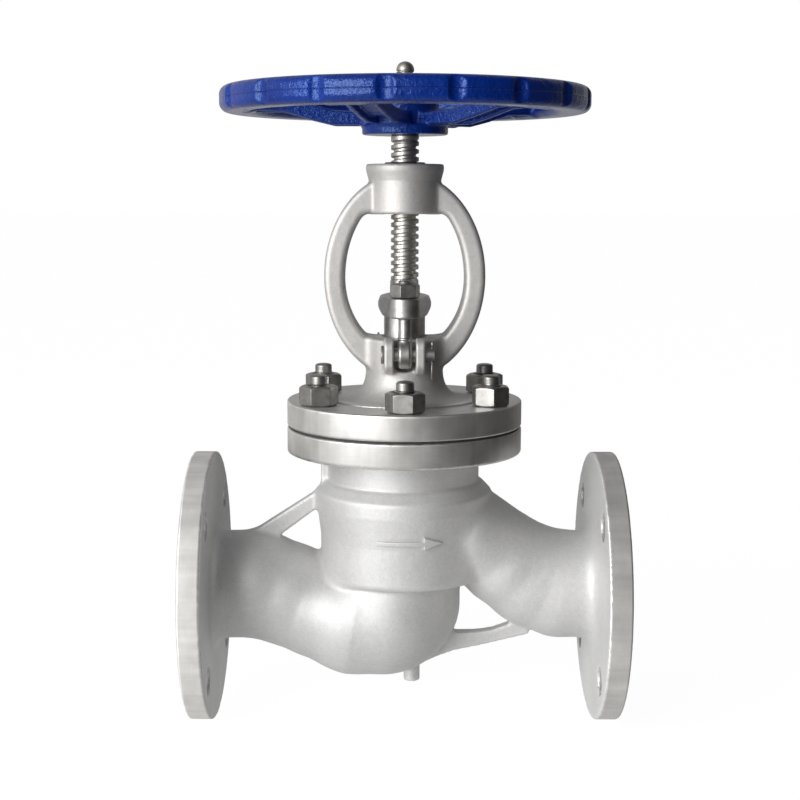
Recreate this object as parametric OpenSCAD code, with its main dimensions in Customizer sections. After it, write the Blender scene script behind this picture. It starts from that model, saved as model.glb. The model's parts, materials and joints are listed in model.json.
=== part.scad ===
// Flanged globe valve, straight pattern, rising stem, bolted bonnet with an outside yoke.
// Millimetres. The origin is the centre of the inlet's raised face: +X along the flow,
// +Z up along the stem. It is drawn closed, with the disc on its seat.

/* [Pipe ends] */
// Length over the two raised faces
face_to_face = 290; // [280:1:300]
// Bore of the pipe ends
port_d = 65; // [60:1:66]
// Outside diameter of the pipe ends
pipe_d = 75; // [74:1:78]
// Outside diameter of the pipe flanges
flange_d = 180; // [175:1:190]
// Thickness of the pipe flanges, with the raised face
flange_t = 18; // [16:1:20]
// Diameter of the raised face
raised_d = 120; // [115:1:125]
// Height of the raised face
raised_h = 3; // [2:0.5:3]
// Bolt circle of the pipe flanges
bolt_circle_d = 145; // [140:1:150]
// Bolt hole of the inlet flange
bolt_hole_d = 18; // [17.5:0.1:18.5]
// Bolt hole of the outlet flange, within the drilling tolerance of the inlet's
outlet_bolt_hole_d = 18.4; // [17.5:0.1:18.5]
// Bolts in each pipe flange
bolt_count = 4; // [4:4:8]

/* [Valve body] */
// Diameter of the opening in the seat
seat_d = 60; // [56:1:62]
// Height of the seat's land above the pipe axis
seat_z = 22; // [21:0.5:23]
// Thickness of the struts and gussets
strut_t = 9; // [7:0.5:10]
// How far the flow arrow stands out of the bowl
arrow_h = 1.4; // [1:0.1:2]

/* [Body joint] */
// Diameter of the body flange and the bonnet flange
cover_d = 156; // [152:1:160]
// Height of the body flange's top face
joint_z = 109.5; // [108:0.5:111]
// Thickness of the gasket
gasket_t = 1.3; // [1:0.1:2]
// Thickness of the bonnet flange
cover_t = 16.6; // [16:0.2:18]
// Circle of the bonnet studs
stud_circle_d = 128; // [126:1:130]
// Bonnet studs
stud_count = 6; // [4:1:8]
// Diameter of the bonnet studs
stud_d = 14; // [12:1:14]
// Across flats of the bonnet nuts
stud_nut_af = 22; // [19:1:22]

/* [Yoke and stem] */
// Depth of the yoke's arms, front to back
yoke_depth = 24; // [20:1:26]
// Height of the boss's top face
boss_top_z = 281.8; // [280:0.2:284]
// Diameter of the stem
stem_d = 18.6; // [18:0.2:20]
// Pitch of the stem's thread
stem_pitch = 5; // [4:1:5]
// Bore of the stuffing box
packing_d = 30; // [28:1:30]
// Packing rings in the stuffing box
packing_count = 7; // [5:1:7]

/* [Gland] */
// Distance from the stem to each eye bolt
eye_bolt_y = 28; // [27:0.5:29]
// Height of the eye bolts' hinge pins
hinge_z = 159.6; // [158:0.2:161]
// Diameter of the eye bolts
eye_bolt_d = 10; // [8:1:10]
// Diameter of the hinge pins
hinge_pin_d = 9; // [8:0.5:9]

/* [Handwheel] */
// Diameter of the handwheel
wheel_d = 240; // [230:1:250]
// Height of the rim
rim_h = 16.5; // [15:0.5:18]
// Width of the rim, inside to outside
rim_w = 22; // [18:1:24]
// Grip grooves round the rim
groove_count = 18; // [12:1:24]
// Spokes
spoke_count = 5; // [3:1:6]

/* [Hidden] */
$fn = 96;
fit = 0.05;                                // radial clearance of a fit
gap = 0.02;                                // air between two faces that bear on each other
bite = 1;                                  // how far a cut runs past the face it opens

port_r = port_d / 2;
pipe_r = pipe_d / 2;
half_length = face_to_face / 2;
seat_r = seat_d / 2;
seat_wall = 6;
chamber_r = 50;                            // inside of the bowl
neck_in_r = 42;                            // inside of the neck
neck_out_r = 50;
floor_z = 17;                              // floor of the upper chamber
ledge_z = 8.5;                             // underside of the bowl
inlet_bend = [-100, 0];                    // where the inlet leaves the pipe axis
outlet_bend = [104, 0];                    // where the outlet joins it again
cover_r = cover_d / 2;
body_flange_z = joint_z - 16.5;
cover_z = joint_z + gasket_t;
cover_top_z = cover_z + cover_t;
stud_turn = 30;                            // direction of the first stud
stud_hole_r = stud_d / 2 + 0.75;
stud_end_r = stud_d / 2 - 1.2;
stud_nut_h = 13;
stud_nut_turn = 23;
stud_top_z = cover_top_z + 20.3;
stud_bottom_z = body_flange_z + 2;
stem_r = stem_d / 2;
stem_hole_r = stem_r + 0.3;
nose_z = 98;                               // lowest face of the bonnet
hub_top_z = 168.5;
box_z = 122;                               // bottom of the stuffing box
packing_r = packing_d / 2;
base_ring_h = 3;
ring_h = 5;
packing_z = box_z + base_ring_h;
packing_top_z = packing_z + packing_count * ring_h;
boss_z = 250;                              // underside of the yoke's boss
yoke_z = 207.5;                            // the yoke is widest here
yoke_in_x = 39.4;
yoke_out_x = 52.8;
nut_r = 14;
nut_flange_r = 16.5;
nut_flange_h = 4;
screw_z = 262;                             // grub screw that locks the stem nut
screw_r = 3;
gland_top_z = 196.4;
gland_bottom_z = 183.5;
gland_flange_r = 17.6;
lug_r = 10.4;                              // round end of a gland lug
lug_z = 183.5;                             // underside of the lugs
lug_hole_r = eye_bolt_d / 2 + 0.4;
shank_r = 4.2;                             // plain shank between the eye and the thread
eye_r = 9;
eye_t = 9;
ear_t = 6.5;
ear_gap = 13.6;
ear_w = 16;
ear_h = 23.6;
pin_head_x = -13.4;                        // under the hinge pin's head
pin_head_r = 6;
pin_end_x = 20;
gland_nut_z = gland_top_z + gap;
gland_nut_h = 9.2;
gland_nut_af = 17;
gland_nut_turn = 12;
eye_bolt_l = 48.2;                         // hinge pin to the bolt's free end
cotter_x = 17.6;
cotter_r = 1.25;
head_z = 38;                               // floor of the disc's pocket for the stem's head
head_r = 12.5;
disc_nut_z = 47;
disc_hub_z = 61;
disc_nut_r = 17;
disc_nut_af = 37;
thread_z = 206;
thread_count = 18;
thread_depth = 2.2;
wheel_z = 300.5;                           // underside of the handwheel's hub
hub_r = 28;
hub_step_z = 306.5;
wheel_hub_top_z = 326;
rim_z = 314.3;
groove_r = 3.6;
groove_turn = 4;
spoke_w = 22;
spoke_turn = -110;                         // direction of the first spoke
square_w = 13;
stem_end_r = 6;
stem_top_z = 347.6;
washer_t = 2.5;
washer_r = 13;
wheel_nut_af = 18;
wheel_nut_h = 10.8;

module on_stem() translate([half_length, 0, 0]) children();
module around(count, r, turn = 0)
    for (i = [0:count - 1]) rotate([0, 0, turn + i * 360 / count]) translate([r, 0, 0]) children();
module lathe(points) rotate_extrude() polygon(points);

// A straight tapered pipe between two [x, z] points of the middle plane.
module duct(p, q, rp, rq) {
    run = q - p;
    translate([p[0], 0, p[1]]) rotate([0, atan2(run[0], run[1]), 0])
        cylinder(h = norm(run), r1 = rp, r2 = rq);
}

// The round knuckle where two ducts meet.
module knuckle(p, r) translate([p[0], 0, p[1]]) sphere(r);

// A plate standing in the middle plane, from its [x, z] outline.
module upright(points, thickness)
    rotate([90, 0, 0]) linear_extrude(thickness, center = true) polygon(points);

// A rounded rectangle centred on the origin.
module rounded_rect(w, h, r) {
    square([w - 2 * r, h], center = true);
    square([w, h - 2 * r], center = true);
    for (x = [-1, 1], y = [-1, 1]) translate([x * (w / 2 - r), y * (h / 2 - r)]) circle(r);
}

// A hexagon nut standing on z = 0, chamfered on top and bottom.
module hex_nut(across_flats, h, hole_r) {
    corner_r = across_flats / 2 / cos(30);
    flat_r = across_flats / 2 * 0.97;
    chamfer = (corner_r - flat_r) * 0.6;
    difference() {
        intersection() {
            cylinder(h = h, r = corner_r, $fn = 6);
            lathe([[0, 0], [flat_r, 0], [corner_r, chamfer], [corner_r, h - chamfer],
                   [flat_r, h], [0, h]]);
        }
        translate([0, 0, -bite]) cylinder(h = h + 2 * bite, r = hole_r);
    }
}

// ---- valve body ----

module pipe_flange() {
    lathe([[0, 0], [raised_d / 2, 0], [raised_d / 2, raised_h], [flange_d / 2 - 1, raised_h],
           [flange_d / 2, raised_h + 1], [flange_d / 2, flange_t - 1],
           [flange_d / 2 - 1, flange_t], [pipe_r + 8, flange_t], [pipe_r + 2.5, flange_t + 3],
           [pipe_r - 1, flange_t + 10], [0, flange_t + 10]]);
}

module flange_bolt_holes(d)
    around(bolt_count, bolt_circle_d / 2, 180 / bolt_count)
        translate([0, 0, -bite]) cylinder(h = flange_t + 2 * bite, d = d);

module at_inlet() translate([-half_length, 0, 0]) rotate([0, 90, 0]) children();
module at_outlet() translate([half_length, 0, 0]) rotate([0, -90, 0]) children();

module bowl()
    lathe([[0, ledge_z], [45, ledge_z], [50, ledge_z + 1.5], [54, ledge_z + 5.5],
           [56, ledge_z + 12], [56, 37], [58.5, 58], [58.5, 66], [56.5, 69.5], [52, 72],
           [neck_out_r, 75], [neck_out_r, body_flange_z - 5], [neck_out_r + 4, body_flange_z],
           [cover_r - 1, body_flange_z], [cover_r, body_flange_z + 1], [cover_r, joint_z - 1],
           [cover_r - 1, joint_z], [0, joint_z]]);

module struts() {
    upright([[-106, 33], [-58, 66], [-54, 66], [-54, 50], [-59, 53], [-87, 31], [-100, 25]],
            strut_t);
    upright([[-57, 64], [-55, body_flange_z + 1], [-47, body_flange_z + 1], [-47, 64]], strut_t);
    upright([[30, -32.4], [48, -32.4], [60, -31], [74, -25], [90, -26], [91, -33],
             [53, -41.6], [31, -46], [14, -53], [14, -40]], strut_t);
}

module body_outside() {
    at_inlet() pipe_flange();
    at_outlet() pipe_flange();
    duct([-half_length + flange_t, 0], inlet_bend, pipe_r, pipe_r);
    knuckle(inlet_bend, pipe_r + 0.4);
    duct(inlet_bend, [-22, -24], pipe_r, pipe_r + 1);
    knuckle([-12, -24], 41.5);
    knuckle([2, -12], 39);
    translate([0, 0, -6]) cylinder(h = ledge_z + 8, r = 40);
    duct([half_length - flange_t, 0], outlet_bend, pipe_r, pipe_r);
    knuckle(outlet_bend, pipe_r + 0.4);
    duct(outlet_bend, [38, 42], pipe_r, 31);
    bowl();
    struts();
    translate([5.5, 0, -67.2]) cylinder(h = 14, r = 5.5);
}

module body_inside() {
    duct([-half_length - bite, 0], inlet_bend, port_r, port_r);
    knuckle(inlet_bend, port_r + 0.4);
    duct(inlet_bend, [-18, -25], port_r, port_r - 2);
    knuckle([-10, -24], 33);
    knuckle([0, -14], 32);
    translate([0, 0, -14]) cylinder(h = seat_z + 14 + bite, r = seat_r + 1);
    duct([half_length + bite, 0], outlet_bend, port_r, port_r);
    knuckle(outlet_bend, port_r + 0.4);
    duct(outlet_bend, [44, 38], port_r, 26);
    lathe([[0, floor_z], [chamber_r - 4, floor_z], [chamber_r, floor_z + 4], [chamber_r, 57],
           [neck_in_r, 65], [neck_in_r, joint_z + bite], [0, joint_z + bite]]);
    around(stud_count, stud_circle_d / 2, stud_turn)
        translate([0, 0, stud_bottom_z]) cylinder(h = joint_z, r = stud_d / 2);
    at_inlet() flange_bolt_holes(bolt_hole_d);
    at_outlet() flange_bolt_holes(outlet_bolt_hole_d);
}

module seat_ring()
    lathe([[seat_r, ledge_z - 3], [seat_r + seat_wall, ledge_z - 3],
           [seat_r + seat_wall, seat_z - 0.5], [seat_r + seat_wall - 0.5, seat_z],
           [seat_r, seat_z]]);

module flow_arrow()
    intersection() {
        translate([0, -40, 0]) upright([[-18, 40.2], [12, 40.2], [12, 37.6], [24.6, 41.3],
                                        [12, 45], [12, 42.4], [-18, 42.4]], 60);
        cylinder(h = 60, r = 56.8 + arrow_h);
    }

module body() color("silver") on_stem() union() {
    difference() {
        body_outside();
        body_inside();
    }
    seat_ring();
    difference() {
        flow_arrow();
        cylinder(h = 60, r = chamber_r + 2);
    }
}

// ---- bonnet with its yoke ----

function ellipse_points(a, b, z) = [for (i = [0:71]) [a * cos(5 * i), z + b * sin(5 * i)]];

// A band of the yoke's plane, from one height to another.
module band(z0, z1) translate([-60, z0]) square([120, z1 - z0]);

// An oval ring, cut off inside the hub below and inside the boss above.
module yoke() rotate([90, 0, 0]) linear_extrude(yoke_depth, center = true) intersection() {
    difference() {
        polygon(ellipse_points(yoke_out_x, 67.7, yoke_z + 1.5));
        intersection() {
            polygon(ellipse_points(yoke_in_x, 48.5, yoke_z));
            band(hub_top_z, yoke_z);
        }
        intersection() {
            polygon(ellipse_points(yoke_in_x, 57, yoke_z));
            band(yoke_z - 0.5, boss_z);
        }
    }
    band(149, 266);
}

module bonnet_turned() {
    lathe([[0, nose_z], [20, nose_z], [22, nose_z + 6], [neck_in_r - 1.5, nose_z + 6],
           [neck_in_r - 0.5, nose_z + 7], [neck_in_r - 0.5, cover_z], [cover_r - 1, cover_z],
           [cover_r, cover_z + 1], [cover_r, cover_top_z - 1], [cover_r - 1, cover_top_z],
           [51, cover_top_z], [50, cover_top_z + 1], [38, cover_top_z + 1],
           [32.5, cover_top_z + 3.5], [29.7, 135.7], [26.7, 139.7], [25.6, 147],
           [25.6, hub_top_z], [0, hub_top_z]]);
    lathe([[0, boss_z], [22.7, boss_z], [23.3, boss_z + 1], [23.3, 266], [24.6, 270],
           [25.6, 273], [25.6, boss_top_z - 1.5], [24.1, boss_top_z], [0, boss_top_z]]);
}

// What the front and the back of the gland share, drawn on the front side.
module front_and_back() for (turn = [0, 180]) rotate([0, 0, turn]) children();

// The two ears that hold one eye bolt, with a web back to the hub.
module ear_pair() for (side = [-1, 1])
    translate([side * (ear_gap + ear_t) / 2, -eye_bolt_y, hinge_z - 0.8])
        rotate([90, 0, 90]) linear_extrude(ear_t, center = true) {
            rounded_rect(ear_w, ear_h, 7);
            translate([ear_w / 2 - 2, -ear_h / 2]) square([8, ear_h - 2.9]);
        }

// The slot between two ears, which also flattens the hub, and the hole for the hinge pin.
module ear_slot() translate([0, -eye_bolt_y, hinge_z]) {
    rotate([0, 90, 0]) cylinder(h = 60, r = hinge_pin_d / 2 + fit, center = true);
    translate([-ear_gap / 2, -20, -eye_r - 1.6]) cube([ear_gap, 20 + eye_r + 0.4, 30]);
}

module bonnet_inside() {
    translate([0, 0, nose_z - bite]) cylinder(h = box_z, r = stem_hole_r);
    lathe([[0, nose_z - bite], [stem_hole_r + 8.1, nose_z - bite],
           [stem_hole_r, nose_z + 7.1], [0, nose_z + 7.1]]);
    translate([0, 0, box_z]) cylinder(h = 60, r = packing_r);
    translate([0, 0, boss_z - bite]) cylinder(h = boss_top_z - boss_z + 2 * bite, r = nut_r + fit);
    translate([0, 0, boss_z - bite]) cylinder(h = nut_flange_h + bite, r = nut_flange_r + fit);
    translate([0, nut_r - 2, screw_z]) rotate([-90, 0, 0]) cylinder(h = 20, r = screw_r + fit);
    around(stud_count, stud_circle_d / 2, stud_turn)
        translate([0, 0, joint_z]) cylinder(h = 30, r = stud_hole_r);
    front_and_back() ear_slot();
}

module bonnet() color("lightgray") on_stem() difference() {
    union() {
        bonnet_turned();
        yoke();
        front_and_back() ear_pair();
    }
    bonnet_inside();
}

module bonnet_gasket() color("dimgray") on_stem() difference() {
    translate([0, 0, joint_z]) cylinder(h = gasket_t, r = cover_r - 1);
    translate([0, 0, joint_z - bite]) cylinder(h = gasket_t + 2 * bite, r = neck_in_r + 0.2);
    around(stud_count, stud_circle_d / 2, stud_turn)
        translate([0, 0, joint_z - bite]) cylinder(h = 5, r = stud_hole_r);
}

// ---- fasteners of the body joint ----

module bonnet_studs() color("gray") on_stem() around(stud_count, stud_circle_d / 2, stud_turn)
    lathe([[0, stud_bottom_z + 0.5], [stud_end_r, stud_bottom_z + 0.5],
           [stud_d / 2 - fit, stud_bottom_z + 2], [stud_d / 2 - fit, cover_top_z + stud_nut_h],
           [stud_end_r, cover_top_z + stud_nut_h + 1], [stud_end_r, stud_top_z - 1.5],
           [stud_end_r - 1.2, stud_top_z - 0.3], [0, stud_top_z]]);

module bonnet_nuts() color("gray") on_stem() around(stud_count, stud_circle_d / 2, stud_turn)
    translate([0, 0, cover_top_z + gap]) rotate([0, 0, stud_nut_turn])
        hex_nut(stud_nut_af, stud_nut_h, stud_d / 2);

// ---- stem nut in the yoke's boss ----

module stem_nut() color("darkkhaki") on_stem() difference() {
    lathe([[stem_r + fit, boss_z + 0.5], [nut_flange_r - 0.5, boss_z + 0.5],
           [nut_flange_r, boss_z + 1], [nut_flange_r, boss_z + nut_flange_h - gap],
           [nut_r, boss_z + nut_flange_h - gap], [nut_r, boss_top_z],
           [nut_r - 1.2, boss_top_z + 1.2], [stem_r + fit, boss_top_z + 1.2]]);
    translate([0, nut_r - 1.6, screw_z]) rotate([-90, 0, 0])
        cylinder(h = 5, r = screw_r + fit);
}

module stem_nut_screw() color("dimgray") on_stem()
    translate([0, nut_r - 1.4, screw_z]) rotate([-90, 0, 0]) difference() {
        cylinder(h = 9.5, r = screw_r);
        translate([0, 0, 6.5]) cylinder(h = 5, r = 1.7, $fn = 6);
    }

// ---- stem seal and gland ----

module packing_base_ring() color("gray") on_stem()
    lathe([[stem_hole_r, box_z + gap], [packing_r - fit, box_z + gap],
           [packing_r - fit, packing_z - gap], [stem_hole_r, packing_z - gap]]);

module packing_rings() color("dimgray") on_stem() for (i = [0:packing_count - 1])
    translate([0, 0, packing_z + i * ring_h])
        lathe([[stem_r + fit, gap], [packing_r - fit, gap], [packing_r - fit, ring_h - gap],
               [stem_r + fit, ring_h - gap]]);

// A lug that narrows from the gland's flange to a round end about its eye bolt.
module gland_lug() {
    lean = asin((gland_flange_r - lug_r) / eye_bolt_y);
    inner = [gland_flange_r * cos(lean), gland_flange_r * sin(lean)];
    outer = [lug_r * cos(lean), eye_bolt_y + lug_r * sin(lean)];
    difference() {
        union() {
            translate([0, 0, lug_z]) linear_extrude(gland_top_z - lug_z)
                polygon([inner, outer, [-outer[0], outer[1]], [-inner[0], inner[1]]]);
            translate([0, eye_bolt_y, 0])
                lathe([[0, lug_z], [lug_r - 0.8, lug_z], [lug_r, lug_z + 0.8],
                       [lug_r, gland_top_z - 0.8], [lug_r - 0.8, gland_top_z], [0, gland_top_z]]);
        }
        translate([0, eye_bolt_y, 150]) cylinder(h = 60, r = lug_hole_r);
    }
}

module gland() color("gray") on_stem() difference() {
    union() {
        lathe([[0, packing_top_z + gap], [packing_r - 0.2, packing_top_z + gap],
               [packing_r - 0.2, 182.5], [gland_flange_r, 188],
               [gland_flange_r, gland_top_z - 0.8],
               [gland_flange_r - 0.8, gland_top_z], [0, gland_top_z]]);
        gland_lug();
        rotate([0, 0, 180]) gland_lug();
    }
    translate([0, 0, 100]) cylinder(h = 120, r = stem_hole_r);
}

// ---- eye bolts of the gland, drawn on the front side ----

module on_hinge(side) on_stem() rotate([0, 0, side > 0 ? 180 : 0])
    translate([0, -eye_bolt_y, hinge_z]) children();

module eye_bolt() difference() {
    union() {
        rotate([0, 90, 0]) cylinder(h = eye_t, r = eye_r, center = true);
        lathe([[0, 0], [shank_r, 0], [shank_r, 20], [eye_bolt_d / 2, 21],
               [eye_bolt_d / 2, eye_bolt_l - 1.2],
               [eye_bolt_d / 2 - 1.2, eye_bolt_l], [0, eye_bolt_l]]);
    }
    rotate([0, 90, 0]) cylinder(h = 30, r = hinge_pin_d / 2 + fit, center = true);
}

module gland_nut() translate([0, 0, gland_nut_z - hinge_z]) rotate([0, 0, gland_nut_turn])
    hex_nut(gland_nut_af, gland_nut_h, eye_bolt_d / 2 + fit);

module hinge_pin() rotate([0, 90, 0]) difference() {
    union() {
        translate([0, 0, pin_head_x]) cylinder(h = pin_end_x - pin_head_x, r = hinge_pin_d / 2);
        translate([0, 0, pin_head_x - 2]) cylinder(h = 2, r = pin_head_r);
    }
    translate([0, 0, cotter_x]) rotate([0, 90, 0])
        cylinder(h = 20, r = cotter_r + 0.1, center = true);
}

// A split pin: an eye above the hinge pin, and two legs spread below it.
module cotter_pin() translate([cotter_x, 0, 0]) union() {
    translate([0, 0, -8]) cylinder(h = 14, r = cotter_r);
    translate([0, 0, 8]) rotate([90, 0, 0]) rotate_extrude() translate([2.1, 0]) circle(0.8);
    for (side = [-1, 1]) translate([0, side * 0.3, -7.5]) rotate([side * 12 + 180, 0, 0])
        cylinder(h = 8.5, r = 0.75);
}

module eye_bolt_front() color("lightgray") on_hinge(-1) eye_bolt();
module eye_bolt_back() color("lightgray") on_hinge(1) eye_bolt();
module gland_nut_front() color("gray") on_hinge(-1) gland_nut();
module gland_nut_back() color("gray") on_hinge(1) gland_nut();
module hinge_pin_front() color("gray") on_hinge(-1) hinge_pin();
module hinge_pin_back() color("gray") on_hinge(1) hinge_pin();
module cotter_pin_front() color("lightgray") on_hinge(-1) cotter_pin();
module cotter_pin_back() color("lightgray") on_hinge(1) cotter_pin();

// ---- disc ----

module disc() color("silver") on_stem()
    lathe([[0, 18], [24, 18], [27.5, seat_z + gap], [36, seat_z + gap], [37, seat_z + 1],
           [37, 31], [36, 32], [25, 34], [22, 37], [22, disc_hub_z - 1], [21, disc_hub_z],
           [disc_nut_r + fit, disc_hub_z], [disc_nut_r + fit, disc_nut_z], [head_r + 0.5, disc_nut_z],
           [head_r + 0.5, head_z], [0, head_z]]);

module disc_nut() color("silver") on_stem() difference() {
    union() {
        translate([0, 0, disc_nut_z + gap]) cylinder(h = 16, r = disc_nut_r);
        translate([0, 0, disc_hub_z + gap]) cylinder(h = 5, d = disc_nut_af / cos(30), $fn = 6);
    }
    translate([0, 0, disc_nut_z - bite]) cylinder(h = 30, r = stem_hole_r);
}

// ---- stem and handwheel ----

// One turn's worth of the thread's outline: a trapezoid groove and the land above it.
function thread_turn(z) = [[stem_r, z], [stem_r - thread_depth, z + 0.12 * stem_pitch],
                           [stem_r - thread_depth, z + 0.46 * stem_pitch],
                           [stem_r, z + 0.58 * stem_pitch]];

module stem() color("darkgray") on_stem() union() {
    lathe(concat([[0, head_z + 0.2], [head_r - 1, head_z + 0.2], [head_r, head_z + 1.2],
                  [head_r, disc_nut_z - 0.2], [stem_r, disc_nut_z - 0.2],
                  [stem_r, 76], [13.5, 79.5], [13.5, 81], [stem_r, 84.5]],
                 [for (i = [0:thread_count - 1]) each thread_turn(thread_z + i * stem_pitch)],
                 [[stem_r, wheel_z - gap], [stem_end_r, wheel_z - gap], [stem_end_r, stem_top_z - 2.6],
                  [stem_end_r - 1.4, stem_top_z - 0.8], [0, stem_top_z]]));
    intersection() {
        translate([-square_w / 2, -square_w / 2, wheel_z - bite])
            cube([square_w, square_w, wheel_hub_top_z - wheel_z + bite - 0.5]);
        cylinder(h = stem_top_z, r = 8.6);
    }
}

// The side outline of a spoke, and of the hollow under it: it dips from the rim to the hub.
spoke_top = [[20, 314], [46, 316], [70, 322], [100, 325]];
spoke_under = [[102, 316], [78, 315], [60, 309.5], [46, hub_step_z], [20, hub_step_z]];
hollow_under = [[100, 314], [98, 319.5], [78, 318.5], [60, 313], [48, 310], [30, 309.5],
                [30, 300]];

module spoke() difference() {
    upright(concat(spoke_top, spoke_under), spoke_w);
    upright(hollow_under, spoke_w - 7);
}

module rim() difference() {
    rotate_extrude() translate([wheel_d / 2 - rim_w / 2, rim_z + rim_h / 2])
        rounded_rect(rim_w, rim_h, 4);
    around(groove_count, wheel_d / 2 + 1.2, groove_turn)
        translate([0, 0, rim_z - bite]) cylinder(h = rim_h + 2 * bite, r = groove_r);
}

module handwheel() color("mediumblue") on_stem() difference() {
    union() {
        rim();
        for (i = [0:spoke_count - 1]) rotate([0, 0, spoke_turn + i * 360 / spoke_count]) spoke();
        lathe([[0, wheel_z], [hub_r - 1, wheel_z], [hub_r, wheel_z + 1], [hub_r, hub_step_z],
               [24, hub_step_z + 2], [22, wheel_hub_top_z - 1], [21, wheel_hub_top_z],
               [0, wheel_hub_top_z]]);
    }
    translate([-square_w / 2 - fit, -square_w / 2 - fit, wheel_z - bite])
        cube([square_w + 2 * fit, square_w + 2 * fit, 40]);
}

module handwheel_washer() color("gray") on_stem() difference() {
    translate([0, 0, wheel_hub_top_z + gap]) cylinder(h = washer_t - gap, r = washer_r);
    cylinder(h = 400, r = stem_end_r + 0.4);
}

module handwheel_nut() color("gray") on_stem()
    translate([0, 0, wheel_hub_top_z + washer_t + gap])
        hex_nut(wheel_nut_af, wheel_nut_h, stem_end_r + fit);

body();
bonnet();
bonnet_gasket();
bonnet_studs();
bonnet_nuts();
stem_nut();
stem_nut_screw();
packing_base_ring();
packing_rings();
gland();
eye_bolt_front();
eye_bolt_back();
gland_nut_front();
gland_nut_back();
hinge_pin_front();
hinge_pin_back();
cotter_pin_front();
cotter_pin_back();
disc();
disc_nut();
stem();
handwheel();
handwheel_washer();
handwheel_nut();
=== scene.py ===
"""Flanged globe valve: visual model, materials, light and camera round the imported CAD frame.

The castings, the handwheel and the small turned pieces are distance fields, meshed here as quads whose
corners lie on the true surface. Shapes are drawn in millimetres round the stem axis: +X along the flow,
+Z up, with Z zero on the pipe axis.
"""

import json
import math

import bpy
import numpy as np
from mathutils import Matrix, Vector


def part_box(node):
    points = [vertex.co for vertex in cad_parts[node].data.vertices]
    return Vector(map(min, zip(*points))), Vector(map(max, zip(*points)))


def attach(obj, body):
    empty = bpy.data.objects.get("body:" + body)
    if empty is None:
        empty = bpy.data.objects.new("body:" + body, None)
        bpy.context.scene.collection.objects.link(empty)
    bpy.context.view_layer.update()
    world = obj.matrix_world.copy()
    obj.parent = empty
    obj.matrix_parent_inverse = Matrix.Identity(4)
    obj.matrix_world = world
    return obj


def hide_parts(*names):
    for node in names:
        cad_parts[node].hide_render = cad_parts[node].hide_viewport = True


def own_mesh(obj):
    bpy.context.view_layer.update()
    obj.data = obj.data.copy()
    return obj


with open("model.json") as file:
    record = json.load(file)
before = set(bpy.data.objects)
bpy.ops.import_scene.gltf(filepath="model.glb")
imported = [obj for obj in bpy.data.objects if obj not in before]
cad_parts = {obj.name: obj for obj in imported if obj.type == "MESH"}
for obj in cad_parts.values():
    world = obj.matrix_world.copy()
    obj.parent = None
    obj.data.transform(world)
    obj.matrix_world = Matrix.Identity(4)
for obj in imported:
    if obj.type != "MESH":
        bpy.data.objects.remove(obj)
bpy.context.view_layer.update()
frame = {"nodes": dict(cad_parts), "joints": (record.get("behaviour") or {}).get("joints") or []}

# ---- sizes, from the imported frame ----

MM = 0.001
COARSE = 1.0
JOINTS = {j["name"]: j for j in frame["joints"]}
STEM_X = JOINTS["stem_turn"]["pos_m"][0] / MM


def span(node, axis):
    """Lowest and highest value of a CAD node along x, y or z, in millimetres round the stem axis."""
    low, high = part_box(node)
    i = "xyz".index(axis)
    shift = STEM_X if axis == "x" else 0
    return low[i] / MM - shift, high[i] / MM - shift


END_X = span("body", "x")[1]               # raised face of the outlet
FLANGE_R = -span("body", "z")[0]
FLANGE_T = 18
FLANGE_HOLE_R = 9
FLANGE_HOLE_CIRCLE = 72.5
RAISED_R = 60
RAISED_H = 3
PIPE_R = 36.3
PORT_R = 32.5
WALL = 5                                   # of the pipe runs
JOINT_Z, COVER_Z = span("bonnet_gasket", "z")
COVER_R = span("bonnet", "y")[1]
BODY_FLANGE_Z = JOINT_Z - 16.5
NUT_TOP = span("bonnet_nuts", "z")[1]
COVER_TOP = span("bonnet_nuts", "z")[0]
STUD_LOW, STUD_TOP = span("bonnet_studs", "z")
STUD_CIRCLE = 64                           # radius of the circle the studs stand on
STUD_COUNT, STUD_TURN = 6, 30
STUD_R = 7
COVER_NUT_AF = 22                          # across the flats
BOSS_TOP = span("bonnet", "z")[1]
HUB_TOP = 168.5
BOX_LOW = 122                              # bottom of the stuffing box
BOX_R = 15
BOSS_LOW = 250
YOKE_Z = 207.5                             # the yoke is widest here
SCREW_Z = 262                              # the screw that locks the stem nut
HINGE_Y = 28
HINGE_Z = sum(span("hinge_pin_front", "z")) / 2
PIN_LOW, PIN_HIGH = span("hinge_pin_front", "x")
PIN_R = 4.5
SPLIT_PIN_X = 17.6
GLAND_LOW, GLAND_TOP = span("gland", "z")
GLAND_FLANGE_Z = 183.5
GLAND_NUT_LOW, GLAND_NUT_TOP = span("gland_nut_front", "z")
GLAND_NUT_AF, GLAND_NUT_TURN = 17, 12
BOLT_END = span("eye_bolt_front", "z")[1]
STEM_PITCH = 5
STEM_R = 9.3
STEM_END_R = 5.95
WHEEL_LOW, RIM_TOP = span("handwheel", "z")
WHEEL_R = span("handwheel", "x")[1]
RIM_LOW = RIM_TOP - 16.5
STEM_LOW, STEM_TOP = span("stem", "z")
WASHER_LOW, WASHER_TOP = span("handwheel_washer", "z")
WHEEL_NUT_LOW, WHEEL_NUT_TOP = span("handwheel_nut", "z")
PACK_LOW, PACK_TOP = span("packing_rings", "z")
PACK_COUNT = 7

# ---- distance fields ----


def smooth_min(a, b, k):
    """Union with a fillet that reaches k along both surfaces."""
    h = np.maximum(k - np.abs(a - b), 0) / k
    return np.minimum(a, b) - h * h * k * 0.25


def smooth_max(a, b, k):
    """Intersection with its edge rounded over k."""
    return -smooth_min(-a, -b, k)


def cut(a, b, k=1.2):
    """a without b, with the new edge rounded over k."""
    return smooth_max(a, -b, k)


def ease(t):
    t = np.clip(t, 0, 1)
    return t * t * (3 - 2 * t)


def mix(a, b, t):
    return a + (b - a) * t


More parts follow.
